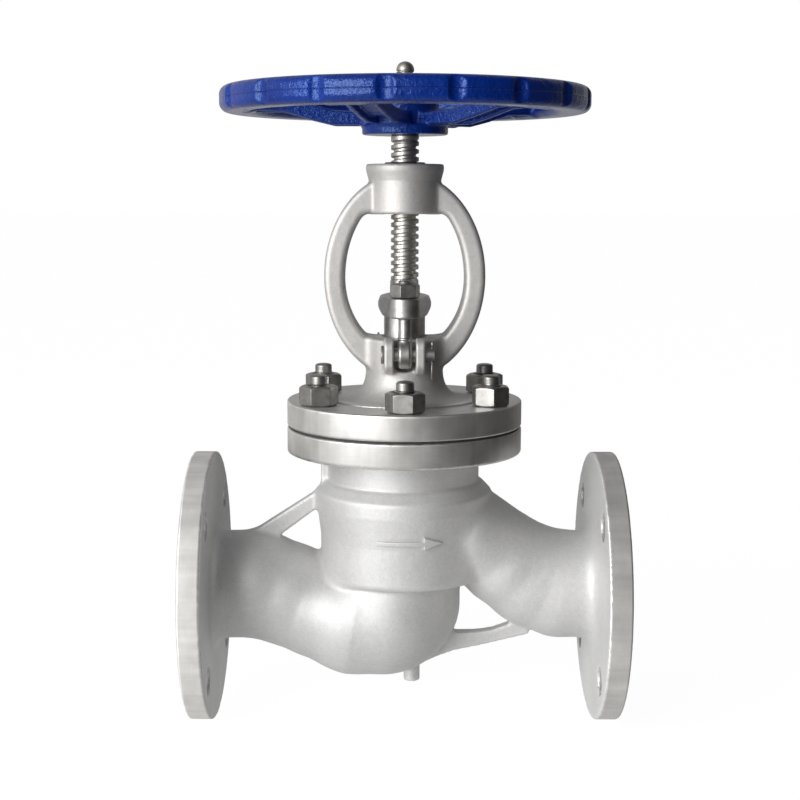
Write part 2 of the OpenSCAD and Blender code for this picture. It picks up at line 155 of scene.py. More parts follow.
def polygon(u, v, points):
    """Signed distance to a closed outline in a plane."""
    best = np.full(u.shape, np.inf)
    sign = np.ones(u.shape)
    for i, (ax, ay) in enumerate(points):
        bx, by = points[i - 1]
        ex, ey = bx - ax, by - ay
        wx, wy = u - ax, v - ay
        t = np.clip((wx * ex + wy * ey) / (ex * ex + ey * ey), 0, 1)
        best = np.minimum(best, (wx - ex * t) ** 2 + (wy - ey * t) ** 2)
        above, below, left = v >= ay, v < by, ex * wy > ey * wx
        flip = (above & below & left) | (~above & ~below & ~left)
        sign = np.where(flip, -sign, sign)
    return sign * np.sqrt(best)


def slab(d, offset, half):
    """A flat outline with signed distance d, thickened to half on both sides."""
    w = np.abs(offset) - half
    return np.minimum(np.maximum(d, w), 0) + np.hypot(np.maximum(d, 0), np.maximum(w, 0))


def disc(r, z, radius, low, high, edge=1.0):
    """A turned disc with rounded edges, from its radius and height coordinates."""
    middle, half = (low + high) / 2, (high - low) / 2
    return slab(r - radius + edge, z - middle, half - edge) - edge


def ball(p, centre, radius, wide=1.0):
    x, y, z = p
    return np.sqrt((x - centre[0]) ** 2 + (y / wide) ** 2 + (z - centre[1]) ** 2) - radius


def duct(p, start, end, r0, r1, wide0=1.0, wide1=1.0):
    """A tapered pipe with round ends between two [x, z] points; wide stretches it front to back."""
    x, y, z = p
    ux, uz = end[0] - start[0], end[1] - start[1]
    t = np.clip(((x - start[0]) * ux + (z - start[1]) * uz) / (ux * ux + uz * uz), 0, 1)
    off = (x - start[0] - ux * t) ** 2 + (z - start[1] - uz * t) ** 2
    wide = mix(wide0, wide1, ease(t))
    return np.sqrt(off + (y / wide) ** 2) - mix(r0, r1, t)


def ellipse(u, v, a, b):
    near = np.hypot(u / a, v / b)
    return near * (near - 1) / np.maximum(np.hypot(u / a / a, v / b / b), 1e-6)


def oval(u, v, length, r0, r1):
    """A circle r0 at the middle drawn out to a circle r1 at v = length, for u and v above 0."""
    lean = (r0 - r1) / length
    flat = math.sqrt(1 - lean * lean)
    reach = flat * v - lean * u
    side = flat * u + lean * v - r0
    return np.where(reach < 0, np.hypot(u, v) - r0,
                    np.where(reach > flat * length, np.hypot(u, v - length) - r1, side))


def hexagon(u, v, across_flats):
    u, v = np.abs(u), np.abs(v)
    return np.maximum(v, u * math.cos(math.pi / 6) + v * 0.5) - across_flats / 2


def spokes_of(x, y, count, first):
    """Coordinates along and across the nearest of count directions, the first at an angle in degrees."""
    turn = 2 * math.pi / count
    angle = np.arctan2(y, x) - math.radians(first)
    angle = angle - turn * np.round(angle / turn)
    r = np.hypot(x, y)
    return r * np.cos(angle), r * np.sin(angle)


# ---- meshing ----

CORNERS = [(i, j, k) for i in (0, 1) for j in (0, 1) for k in (0, 1)]
EDGES = [(a, b) for a in CORNERS for b in CORNERS if sum(b) - sum(a) == 1 and all(
    q >= p for p, q in zip(a, b))]
BLOCK = 4                                  # grid cells along one side of a coarse block


def sample(field, low, high, step):
    """Grid values of a field, worked out in full only in the blocks that the surface can cross."""
    side = step * BLOCK
    axes = []
    for lo, hi in zip(low, high):
        blocks = int(math.ceil((hi - lo + side) / side))
        start = (lo + hi - blocks * side) / 2
        axes.append(start + step * (np.arange(blocks * BLOCK) + 0.5))
    middles = [a.reshape(-1, BLOCK).mean(1) for a in axes]
    grid = np.meshgrid(*middles, indexing="ij")
    shape = grid[0].shape
    coarse = field([g.ravel() for g in grid]).reshape(shape)
    near = np.abs(coarse) < side * 0.95 + 2.5
    values, busy = coarse, near
    for axis in range(3):
        values = np.repeat(values, BLOCK, axis)
        busy = np.repeat(busy, BLOCK, axis)
    where = np.nonzero(busy)
    values[where] = field([axes[i][where[i]] for i in range(3)])
    return values, axes


def gradient(field, p, h):
    parts = []
    for i in range(3):
        ahead, behind = list(p), list(p)
        ahead[i] = p[i] + h
        behind[i] = p[i] - h
        parts.append((field(ahead) - field(behind)) / (2 * h))
    return np.array(parts)


def smooth_once(points, quads):
    total = np.zeros_like(points)
    count = np.zeros(len(points))
    for i in range(4):
        a, b = quads[:, i], quads[:, i - 1]
        for one, other in ((a, b), (b, a)):
            count += np.bincount(one, minlength=len(points))
            for axis in range(3):
                total[:, axis] += np.bincount(one, points[other, axis], len(points))
    return total / count[:, None]


def surface(field, low, high, step):
    """Quads on the zero surface of a field: corners, faces and normals, in millimetres."""
    step = step * COARSE
    values, axes = sample(field, low, high, step)
    inside = values < 0
    cut_shape = tuple(n - 1 for n in values.shape)

    def corner(a, c):
        return a[c[0]:c[0] + cut_shape[0], c[1]:c[1] + cut_shape[1], c[2]:c[2] + cut_shape[2]]

    count = sum(corner(inside, c).astype(np.int8) for c in CORNERS)
    active = (count > 0) & (count < 8)
    cells = np.argwhere(active)
    ids = np.full(active.shape, -1, np.int64)
    ids[active] = np.arange(len(cells))
    total = np.zeros((len(cells), 3))
    hits = np.zeros(len(cells))
    at = {c: corner(values, c)[active] for c in CORNERS}
    for a, b in EDGES:
        va, vb = at[a], at[b]
        crossed = (va < 0) != (vb < 0)
        t = np.where(crossed, va / np.where(crossed, va - vb, 1), 0)
        total += crossed[:, None] * (np.array(a) + t[:, None] * (np.array(b) - np.array(a)))
        hits += crossed
    origin = np.array([axis[0] for axis in axes])
    points = origin + (cells + total / hits[:, None]) * step
    faces = []
    for a in range(3):
        u, v = (a + 1) % 3, (a + 2) % 3
        here = [slice(None)] * 3
        there = [slice(None)] * 3
        here[a], there[a] = slice(0, -1), slice(1, None)
        first, second = inside[tuple(here)], inside[tuple(there)]
        for outward in (True, False):
            edge = np.argwhere((first & ~second) if outward else (~first & second))
            ok = (edge[:, u] > 0) & (edge[:, v] > 0)
            ok &= (edge[:, u] < cut_shape[u]) & (edge[:, v] < cut_shape[v])
            edge = edge[ok]
            quad = []
            for du, dv in ((-1, -1), (0, -1), (0, 0), (-1, 0)):
                cell = edge.copy()
                cell[:, u] += du
                cell[:, v] += dv
                quad.append(ids[tuple(cell.T)])
            quad = np.stack(quad, 1)
            faces.append(quad if outward else quad[:, ::-1])
    quads = np.concatenate(faces)
    points = mix(points, smooth_once(points, quads), 0.6)
    for _ in range(3):
        value = field(list(points.T))
        slope = gradient(field, list(points.T), 0.02)
        move = value / np.maximum((slope ** 2).sum(0), 0.2)
        points = points - (slope * np.clip(move, -step * 0.7, step * 0.7)).T
    normals = gradient(field, list(points.T), 0.12).T
    normals /= np.maximum(np.linalg.norm(normals, axis=1), 1e-9)[:, None]
    return points, quads, normals


# ---- pieces ----


def new_mesh(name, points, faces, normals=None):
    """A mesh in metres, from millimetre corners round the stem axis."""
    mesh = bpy.data.meshes.new(name)
    faces = faces if isinstance(faces, list) else faces.tolist()
    mesh.from_pydata((np.asarray(points) * MM).tolist(), [], faces)
    mesh.shade_smooth()
    if normals is not None:
        mesh.normals_split_custom_set_from_vertices(normals.tolist())
    return mesh


def add_piece(name, mesh, body, materials, slot, nodes=(), spots=((0, 0, 0),), turns=(0,)):
    """One object per spot and turn, riding on a body and standing for the CAD nodes."""
    made = []
    for m in materials:
        mesh.materials.append(m)
    for i, (spot, turn) in enumerate(zip(spots, turns)):
        label = name if len(spots) == 1 else f"{name}_{i + 1}"
        piece = bpy.data.objects.new(label, mesh)
        bpy.context.scene.collection.objects.link(piece)
        piece.location = ((spot[0] + STEM_X) * MM, spot[1] * MM, spot[2] * MM)
        piece.rotation_euler = (0, 0, math.radians(turn))
        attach(piece, body)
        if nodes:
            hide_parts(*nodes)
        made.append(piece)
    return made


def paint_faces(mesh, choose):
    """Gives each face the material whose number choose returns, from the face's centre in millimetres."""
    centres = np.zeros(len(mesh.polygons) * 3)
    mesh.polygons.foreach_get("center", centres)
    x, y, z = centres.reshape(-1, 3).T / MM
    mesh.polygons.foreach_set("material_index", choose(x, y, z).astype(np.int32))


# ---- body casting ----

LEDGE_Z = 8.5                              # underside of the bowl
SEAT_Z = 22
SEAT_R = 30
STRUT_HALF = 4.5
NUB_LOW = -67.2
BOWL = [(0, LEDGE_Z + 4), (51.6, LEDGE_Z + 4), (52, 37), (54.5, 57), (54.5, 64.5),
        (50.5, 68.6), (0, 68.6)]
# Runs of the casting in the plane y = 0: x, z, radius, and how much wider it is front to back.
INLET = [(-END_X + 10, 0, PIPE_R, 1), (-100, 0.3, PIPE_R, 1), (-78, -7, 34.6, 1.04),
         (-58, -15, 34.6, 1.1), (-34, -19.5, 39.5, 1.17)]
BELLY = [(-34, -19.5, 40, 1.17), (-16, -21, 39.4, 1.2)]
OUTLET = [(END_X - 10, 0, PIPE_R, 1), (105, 0.9, PIPE_R - 0.3, 1), (86, 7, 34.4, 1.02),
          (68, 18.5, 32, 1.12), (40, 42.5, 28.5, 1.5)]
CHAMBER = [(0, 17), (46, 17), (50, 21), (50, 57), (42, 65), (42, 120), (0, 120)]
STRUTS = [[(-110, 32), (-58, 65.5), (-50, 66), (-50, 50), (-58.6, 53.2), (-87, 32), (-100, 22)],
          [(-55.6, 60), (-55.6, 88), (-58, 97), (-46, 97), (-46, 60)],
          [(20, -33), (48, -32.6), (60, -31), (72, -26.7), (84, -24), (85, -33.8), (53, -41.6),
           (34, -45.6), (14, -53)]]


def chain(p, stations, k):
    """Ducts through a row of stations, blended into one."""
    made = None
    for (x0, z0, r0, wide0), (x1, z1, r1, wide1) in zip(stations, stations[1:]):
        part = duct(p, (x0, z0), (x1, z1), r0, r1, wide0, wide1)
        made = part if made is None else smooth_min(made, part, k * 0.25)
    return made


def pipe_flange(p):
    """Both pipe flanges, from the distance to the nearer one's raised face."""
    x, y, z = p
    r = np.hypot(y, z)
    depth = END_X - np.abs(x)
    plate = disc(r, depth, FLANGE_R, RAISED_H, FLANGE_T, 1.3)
    return np.minimum(plate, disc(r, depth, RAISED_R, 0, RAISED_H + 4, 0.5))


def flange_holes(p):
    x, y, z = p
    along, across = spokes_of(y, z, 4, 45)
    hole = np.hypot(along - FLANGE_HOLE_CIRCLE, across) - FLANGE_HOLE_R
    return np.maximum(hole, END_X - 30 - np.abs(x))


def bore(stations, side):
    """Stations of the passage inside a pipe: the port, then the pipe less its wall."""
    port = [(side * (END_X + 40), 0, PORT_R, 1), (side * (END_X - 26), 0, PORT_R, 1)]
    return port + [(x, z, r - WALL, wide) for x, z, r, wide in stations]


def body_passages(p):
    x, y, z = p
    r = np.hypot(x, y)
    bend_x, bend_z, bend_r, bend_wide = INLET[3]
    lower = chain(p, bore(INLET[1:4], -1), 8)
    inner = duct(p, (bend_x, bend_z), (-14, -22), bend_r - WALL, 31, bend_wide, 1.2)
    lower = smooth_min(lower, inner, 6)
    lower = smooth_min(lower, ball(p, (0, -14), 32, 1.1), 6)
    lower = smooth_min(lower, disc(r, z, SEAT_R, -14, SEAT_Z + 2, 0.5), 2)
    upper = smooth_min(chain(p, bore(OUTLET[1:], 1), 8), polygon(r, z, CHAMBER), 3)
    return np.minimum(lower, cut(upper, disc(r, z, SEAT_R + 6, 10, SEAT_Z, 0.5), 1.5))


def body_field(p):
    x, y, z = p
    r = np.hypot(x, y)
    inlet, belly, outlet = chain(p, INLET, 8), chain(p, BELLY, 5), chain(p, OUTLET, 8)
    front = duct(p, (-3, -12), (-3, 6), 41, 41, 1.18, 1.18)
    lower = smooth_min(smooth_min(inlet, belly, 6), front, 13)
    bowl = polygon(r, z, BOWL) - 4
    neck = disc(r, z, 50, 55, BODY_FLANGE_Z + 4, 1)
    upper = smooth_min(bowl, neck, 2)
    upper = smooth_min(upper, outlet, mix(2, 4.5, ease((70 - z) / 30)))
    reach = mix(6, 2.6, ease((x + 46) / 22)) * np.where(x > 30, mix(1, 2.2, ease((x - 30) / 12)), 1)
    solid = smooth_min(upper, lower, reach)
    ribs = np.minimum.reduce([slab(polygon(x, z, s) + 1.2, y, STRUT_HALF - 1.2) - 1.2 for s in STRUTS])
    solid = smooth_min(solid, ribs, 4)
    nub = disc(np.hypot(x - 5.5, y), z, 5.5, NUB_LOW, -50, 1)
    solid = smooth_min(solid, nub, 2.5)
    solid = smooth_min(solid, disc(r, z, COVER_R, BODY_FLANGE_Z, JOINT_Z, 1.2), 3.5)
    solid = smooth_min(solid, pipe_flange(p), 10)
    solid = np.maximum(solid, np.abs(x) - END_X)
    solid = cut(solid, body_passages(p), 1.5)
    return cut(solid, flange_holes(p), 1.2)


def stud_holes(p):
    x, y, z = p
    along, across = spokes_of(x, y, STUD_COUNT, STUD_TURN)
    hole = np.hypot(along - STUD_CIRCLE, across) - STUD_R - 0.2
    return np.maximum(hole, STUD_LOW - 0.6 - z)


def body_with_stud_holes(p):
    return cut(body_field(p), stud_holes(p), 0.8)


def body_zones(x, y, z):
    """0 casting, 1 rim of the cover flange, 2 turned face, 3 rim of a pipe flange."""
    r, pipe_r = np.hypot(x, y), np.hypot(y, z)
    depth = END_X - np.abs(x)
    zone = np.zeros(len(x))
    zone[(z > BODY_FLANGE_Z + 0.5) & (r > COVER_R - 0.8)] = 1
    zone[z > JOINT_Z - 0.5] = 2
    zone[(pipe_r > FLANGE_R - 0.7) & (depth > RAISED_H) & (depth < FLANGE_T + 1)] = 3
    zone[(depth < RAISED_H + 0.5) & (pipe_r < FLANGE_R - 1.6)] = 2
    hole = FLANGE_HOLE_CIRCLE * math.sqrt(0.5)
    zone[(np.hypot(np.abs(y) - hole, np.abs(z) - hole) < 9.6) & (depth < FLANGE_T - 0.4)] = 2
    zone[(pipe_r < PORT_R + 0.5) & (depth < 30)] = 2
    zone[(r < 43) & (z > SEAT_Z - 6)] = 2
    return zone


ARROW_Z = 41.3
ARROW = [(-18, ARROW_Z - 1.4), (12.5, ARROW_Z - 1.4), (12.5, ARROW_Z - 4.2), (25, ARROW_Z),
         (12.5, ARROW_Z + 4.2), (12.5, ARROW_Z + 1.4), (-18, ARROW_Z + 1.4)]


def arrow_field(p):
    x, y, z = p
    raised = np.hypot(x, y) - mix(56, 58.5, (z - 37) / 20) - 2.1
    shape = smooth_max(polygon(x, z, ARROW), raised, 0.6)
    return np.maximum(shape, y + 45)


# ---- bonnet ----


def yoke_field(p):
    x, y, z = p
    outer = ellipse(x, z - YOKE_Z - 1.5, 52.8, 67.7)
    opening = ellipse(x, z - YOKE_Z, 39.4, np.where(z < YOKE_Z, 48.5, 57.0))
    opening = smooth_max(opening, np.maximum(HUB_TOP - z, z - BOSS_LOW), 4)
    arms = np.maximum(outer, -opening)
    arms = smooth_max(arms, np.abs(y) - 12, 4)
    return smooth_max(arms, np.maximum(150 - z, z - 272), 2)


def ears_field(p):
    x, y, z = p
    out, up = np.abs(y) - HINGE_Y, z - HINGE_Z
    flat = slab(np.abs(out) - 1, up + 0.8, 4.8) - 7
    flat = np.minimum(flat, slab(np.abs(out + 10) - 4, up + 2.25, 10.35))
    return slab(flat + 1.6, np.abs(x) - 10.05, 3.25 - 1.6) - 1.6


BOSS = [(0, BOSS_LOW), (22.6, BOSS_LOW), (23.2, BOSS_LOW + 0.8), (23.4, 271), (24.1, 274),
        (25.0, 277.2), (25.2, 278.6), (25.2, BOSS_TOP - 1.2), (24.6, BOSS_TOP - 0.3),
        (0, BOSS_TOP - 0.3)]


def bonnet_field(p):
    x, y, z = p
    r = np.hypot(x, y)
    plate = disc(r, z, COVER_R, COVER_Z, COVER_TOP, 1.2)
    plate = np.minimum(plate, disc(r, z, 50, COVER_Z + 4, COVER_TOP + 1, 0.4))
    plate = np.minimum(plate, disc(r, z, 41.5, JOINT_Z - 5.5, COVER_Z + 4, 0.8))
    plate = np.minimum(plate, disc(r, z, 20.5, JOINT_Z - 11.5, COVER_Z, 0.8))
    hub = disc(r, z, 25.6, COVER_Z + 2, HUB_TOP, 1.5)
    solid = smooth_min(plate, hub, 19)
    solid = smooth_min(solid, yoke_field(p), 4)
    solid = smooth_min(solid, polygon(r, z, BOSS) - 0.3, 1.8)
    solid = smooth_min(solid, ears_field(p), 2.5)
    stem_hole = np.where(z < BOX_LOW, STEM_R + 0.6, np.where(z < 200, BOX_R, 14.05))
    solid = cut(solid, r - stem_hole, 1)
    solid = cut(solid, disc(r, z, 16.55, BOSS_LOW - 5, BOSS_LOW + 4, 0.2), 0.5)
    out = np.abs(y) - HINGE_Y
    slot = smooth_max(np.maximum(np.abs(x) - 6.8, z - HUB_TOP - 8), -9.4 - out, 4)
    slot = smooth_max(slot, HINGE_Z - 11.5 - z, 6)
    solid = cut(solid, slot, 1.2)
    pin = np.maximum(np.hypot(out, z - HINGE_Z) - PIN_R - 0.1, np.abs(x) - 14)
    solid = cut(solid, pin, 0.6)
    screw = np.maximum(np.hypot(x, z - SCREW_Z) - 3.05, 12 - y)
    solid = cut(solid, screw, 0.6)
    along, across = spokes_of(x, y, STUD_COUNT, STUD_TURN)
    holes = np.maximum(np.hypot(along - STUD_CIRCLE, across) - STUD_R - 0.75, z - COVER_TOP - 10)
    return cut(solid, holes, 0.8)


def bonnet_zones(x, y, z):
    r = np.hypot(x, y)
    zone = np.zeros(len(x))
    rim = (r > COVER_R - 0.8) & (z < COVER_TOP) & (z > COVER_Z)
    zone[rim] = 1
    zone[~rim & (z > COVER_TOP - 0.6) & (z < COVER_TOP + 1.3) & (r > 44)] = 2
    zone[z < COVER_Z + 0.4] = 2
    zone[z > BOSS_TOP - 0.3] = 2
    return zone


# ---- handwheel ----

RIM_MIDDLE = (RIM_LOW + RIM_TOP) / 2
RIM_HALF_W = 11
SPOKE_TOP = [(20, 314), (46, 316), (70, 322), (100, 326)]
SPOKE_UNDER = [(102, 316), (78, 315), (60, 309.8), (46, WHEEL_LOW + 6), (20, WHEEL_LOW + 6)]
HOLLOW = [(98, 312), (98, 321), (78, 320), (60, 314), (48, 311), (30, 310.5), (30, 298), (60, 298)]


def handwheel_field(p):
    x, y, z = p
    r = np.hypot(x, y)
    half = (RIM_TOP - RIM_LOW) / 2
    rim = slab(np.abs(r - WHEEL_R + RIM_HALF_W) - RIM_HALF_W + 5.5, z - RIM_MIDDLE, half - 5.5) - 5.5
    along, across = spokes_of(x, y, 18, 4)
    groove = np.hypot(along - WHEEL_R - 4.6, across) - 7.0
    rim = cut(rim, groove, 1.0)
    along, across = spokes_of(x, y, 5, -110)
    spoke = slab(polygon(along, z, SPOKE_TOP + SPOKE_UNDER) + 1.6, across, 11 - 1.6) - 1.6
    hollow = slab(polygon(along, z, HOLLOW) + 1, across, 7 - 1) - 1
    spoke = cut(spoke, hollow, 1.5)
    solid = smooth_min(rim, spoke, 5)
    hub = disc(r, z, 28, WHEEL_LOW, WHEEL_LOW + 6.2, 1.2)
    hub = smooth_min(hub, disc(r, z, 22, WHEEL_LOW + 2, WASHER_LOW, 1.2), 3)
    solid = smooth_min(solid, hub, 3)
    square = np.maximum(np.abs(x), np.abs(y)) - 6.6
    return cut(solid, square, 0.8)


# ---- gland, bolts, nuts ----


def gland_field(p):
    x, y, z = p
    r = np.hypot(x, y)
    nose = [(0, GLAND_LOW), (14.8, GLAND_LOW), (14.8, HUB_TOP - 2), (13.6, HUB_TOP - 1),
            (13.6, 182.5), (16, 188), (16, GLAND_TOP - 0.4), (0, GLAND_TOP - 0.4)]
    body = polygon(r, z, nose)
    plan = oval(np.abs(x), np.abs(y), HINGE_Y, 17.6, 10.4)
    slope = np.maximum((188.5 - z) * 0.62, (z - GLAND_TOP + 3.2) * 0.7)
    plan = smooth_max(plan, (np.abs(x) - 17.6 + slope) * 0.82, 1.2)
    middle, half = (GLAND_TOP + GLAND_FLANGE_Z) / 2, (GLAND_TOP - GLAND_FLANGE_Z) / 2
    solid = smooth_min(body, slab(plan + 1.2, z - middle, half - 1.2) - 1.2, 1.5)
    solid = cut(solid, np.hypot(x, np.abs(y) - HINGE_Y) - 5.4, 0.8)
    return cut(solid, r - STEM_R - 0.4, 0.8)


STEM_OUTLINE = [(0, STEM_LOW), (11.4, STEM_LOW), (12.5, STEM_LOW + 1), (12.5, 46.8), (STEM_R, 46.8),
                (STEM_R, 76), (13.5, 79.5), (13.5, 81), (STEM_R, 84.5), (STEM_R, WHEEL_LOW - 0.6),
                (STEM_R - 0.6, WHEEL_LOW - 0.02), (0, WHEEL_LOW - 0.02)]


def thread(r, angle, z, radius, pitch, depth):
    """A right-hand screw with a 60 degree form."""
    turn = z / pitch - angle / (2 * math.pi)
    wave = np.abs(turn - np.round(turn)) * 2
    return (r - radius + depth * np.clip(wave * 1.25 - 0.1, 0, 1)) * 0.75


def eye_bolt_field(p):
    """Round its hinge axis, which is along x; the shank points up."""
    x, y, z = p
    r = np.hypot(x, y)
    length = BOLT_END - HINGE_Z
    ring = slab(np.hypot(y, z) - 9 + 2.2, x, 4.5 - 2.2) - 2.2
    shank = np.where(z > 23, thread(r, np.arctan2(y, x), z, 4.95, 1.5, 0.85), r - 4.2)
    shank = smooth_min(shank, disc(r, z, 4.9, 9.6, 11.2, 0.7), 0.6)
    end = np.maximum(z - length, (r + (z - length)) * 0.707 - 2.4)
    shank = np.maximum(np.maximum(shank, end), -z)
    solid = smooth_min(ring, shank, 2.0)
    return cut(solid, np.hypot(y, z) - PIN_R - 0.1, 0.8)


def nut_field(across_flats, height, hole):
    """A chamfered hexagon nut that stands on z = 0."""
    corner = across_flats / 2 / math.cos(math.pi / 6)

    def field(p):
        x, y, z = p
        r = np.hypot(x, y)
        sides = hexagon(x, y, across_flats)
        bevel = np.maximum(r - corner + (z - height) * 1.9, r - corner - z * 1.9) / 2.15
        bevel = bevel + (corner - across_flats / 2) * 0.6
        solid = smooth_max(sides, np.maximum(-z, z - height), 0.8)
        solid = smooth_max(solid, bevel, 0.7)
        return cut(solid, r - hole - np.maximum(np.maximum(z - height + 1, 1 - z), 0), 0.5)

    return field


def stud_field(p):
    """Round its own axis, with z as on the valve."""
    x, y, z = p
    r = np.hypot(x, y)
    screw = thread(r, np.arctan2(y, x), z, STUD_R - 0.05, 2.0, 1.1)
    top = NUT_TOP + 1
    turned = np.maximum(r - STUD_R + 1.3, z - STUD_TOP)
    dome = np.sqrt(r * r + (z - STUD_TOP + 13) ** 2) - 13
    low = np.maximum(STUD_LOW - z, (r - z + STUD_LOW - STUD_R + 1.6) * 0.707)
    body = np.maximum(np.maximum(screw, z - top), low)
    return np.minimum(body, np.maximum(smooth_max(turned, dome, 1.0), 120 - z))


def hinge_pin_field(p):
    """Along x round its hinge axis, with the head at the low end."""
    x, y, z = p
    r = np.hypot(y, z)
    shank = disc(r, x, PIN_R, PIN_LOW + 1, PIN_HIGH, 0.9)
    head = disc(r, x, 6.0, PIN_LOW, PIN_LOW + 2, 0.7)
    hole = np.hypot(x - SPLIT_PIN_X, y) - 1.3
    return cut(smooth_min(shank, head, 0.6), hole, 0.4)


def tube(path, radius, sides=10):
    """Corners and faces of a round wire bent along a path of points."""
    path = np.array(path, float)
    ahead = np.gradient(path, axis=0)
    ahead /= np.linalg.norm(ahead, axis=1)[:, None]
    right = np.cross(ahead, (1.0, 0.02, 0.01))
    right /= np.linalg.norm(right, axis=1)[:, None]
    up = np.cross(right, ahead)
    angles = np.linspace(0, 2 * math.pi, sides, endpoint=False)
    points, faces = [], []
    for i, centre in enumerate(path):
        for a in angles:
            points.append(centre + radius * (right[i] * math.cos(a) + up[i] * math.sin(a)))
    for i in range(len(path) - 1):
        for j in range(sides):
            k = (j + 1) % sides
            faces.append((i * sides + j, i * sides + k, (i + 1) * sides + k, (i + 1) * sides + j))
    faces.append(tuple(range(sides))[::-1])
    faces.append(tuple(range((len(path) - 1) * sides, len(path) * sides)))
    return points, faces


def cotter_path():
    """A split pin's wire: up one leg, round the eye, down the other, with the ends spread."""
    leg, eye, lift = 0.62, 1.9, 6.9
    start = math.acos(leg / eye)
    down = [(0, -leg - 4.2 * t * t, -7.5 - 8 * t) for t in np.linspace(1, 0, 7)]
    rise = [(0, -leg, z) for z in np.linspace(-6.5, lift - eye * math.sin(start) - 0.4, 6)]
    loop = [(0, -eye * math.cos(a), lift + eye * math.sin(a))
            for a in np.linspace(-start, math.pi + start, 22)]
    left = down + rise + loop
    right = [(0, -y, z) for x, y, z in (down + rise)][::-1]
    return left + right


def stem_field(p):
    """The bar from the head in the disc up to the handwheel, with its trapezoidal screw."""
    x, y, z = p
    r = np.hypot(x, y)
    bar = polygon(r, z, STEM_OUTLINE)
    turn = z / STEM_PITCH - np.arctan2(y, x) / (2 * math.pi)
    part = np.abs(turn - np.round(turn)) * 2
    faded = np.minimum(ease((z - 205) / 5), ease((299 - z) / 4))
    screw = r - STEM_R + 2.0 * faded * ease((part - 0.44) / 0.26)
    return smooth_max(bar, screw * 0.7, 0.5)


def stem_end_field(p):
    """The square that drives the handwheel, and the screwed end above it."""
    x, y, z = p
    r = np.hypot(x, y)
    square = smooth_max(np.maximum(np.abs(x), np.abs(y)) - 6.5, r - 8.6, 0.6)
    square = np.maximum(square, np.maximum(WHEEL_LOW - 1 - z, z - WASHER_LOW + 0.5))
    screw = thread(r, np.arctan2(y, x), z, STEM_END_R, 1.75, 1.0)
    tip = smooth_max(r - STEM_END_R, z - STEM_TOP, 7)
    screw = np.where(z > STEM_TOP - 6, tip, smooth_max(screw, tip, 0.5))
    screw = np.maximum(screw, WASHER_LOW - 6 - z)
    return np.minimum(square, screw)


def packing_field(p):
    """Square braided rings with a plaited surface."""
    x, y, z = p
    r, angle = np.hypot(x, y), np.arctan2(y, x)
    pitch = (PACK_TOP - PACK_LOW) / PACK_COUNT
    level = (z - PACK_LOW) % pitch - pitch / 2
    plait = np.abs(np.sin(angle * 20 + level * 1.3)) * np.abs(np.sin(angle * 20 - level * 1.3))
    ring = slab(np.abs(r - 12.5) - 1.35, level, pitch / 2 - 1.2) - 1.0
    return np.maximum(ring + 0.16 * (1 - plait), 0.5 * np.maximum(PACK_LOW - z, z - PACK_TOP))


def washer_field(p):
    x, y, z = p
    r = np.hypot(x, y)
    return cut(disc(r, z, 13, WASHER_LOW, WASHER_TOP, 0.4), r - 6.4, 0.5)


# ---- materials ----


class Finish:
    """A procedural material: short calls that add nodes and return their outputs."""

    def __init__(self, name):
        self.material = bpy.data.materials.new(name)
        self.material.use_nodes = True
        self.tree = self.material.node_tree
        self.shader = self.tree.nodes["Principled BSDF"]
        self.place = self.node("ShaderNodeTexCoord").outputs["Object"]

    def node(self, kind, links=None, **settings):
        made = self.tree.nodes.new(kind)
        for key, value in settings.items():
            setattr(made, key, value)
        for key, value in (links or {}).items():
            self.put(made.inputs[key], value)
        return made

    def put(self, socket, value):
        if isinstance(value, bpy.types.NodeSocket):
            self.tree.links.new(value, socket)
        else:
            socket.default_value = value

    def set(self, **values):
        for key, value in values.items():
            self.put(self.shader.inputs[key.replace("_", " ")], value)

    def noise(self, size, detail=2.0, stretch=(1, 1, 1), rough=0.5):
        """Noise with features about size millimetres across."""
        scaled = self.node("ShaderNodeMapping", {"Vector": self.place, "Scale": stretch})
        links = {"Vector": scaled.outputs[0], "Scale": 1 / (size * MM), "Detail": detail,
                 "Roughness": rough}
        return self.node("ShaderNodeTexNoise", links).outputs["Fac"]

    def spread(self, value, low, high, start=0.0, end=1.0):
        """value from start..end, carried to low..high."""
        links = {"Value": value, "From Min": start, "From Max": end, "To Min": low, "To Max": high}
        return self.node("ShaderNodeMapRange", links).outputs[0]

    def maths(self, operation, a, b):
        made = self.node("ShaderNodeMath", {0: a, 1: b}, operation=operation)
        return made.outputs[0]

    def tint(self, value, low, high, start=0.3, end=0.7):
        """A colour between low and high, as value goes from start to end."""
        links = {"Factor": self.spread(value, 0, 1, start, end)}
        made = self.node("ShaderNodeMix", links, data_type="RGBA")
        made.inputs[6].default_value = (*low, 1)
        made.inputs[7].default_value = (*high, 1)
        return made.outputs[2]

    def shade(self, colour, value):
        """The colour times a grey value."""
        made = self.node("ShaderNodeVectorMath", {0: colour, "Scale": value}, operation="SCALE")
        return made.outputs[0]

    def bump(self, height, depth, strength=1.0, under=None):
        """A bump of depth millimetres."""
        links = {"Height": height, "Distance": depth * MM, "Strength": strength}
        if under is not None:
            links["Normal"] = under
        return self.node("ShaderNodeBump", links).outputs[0]


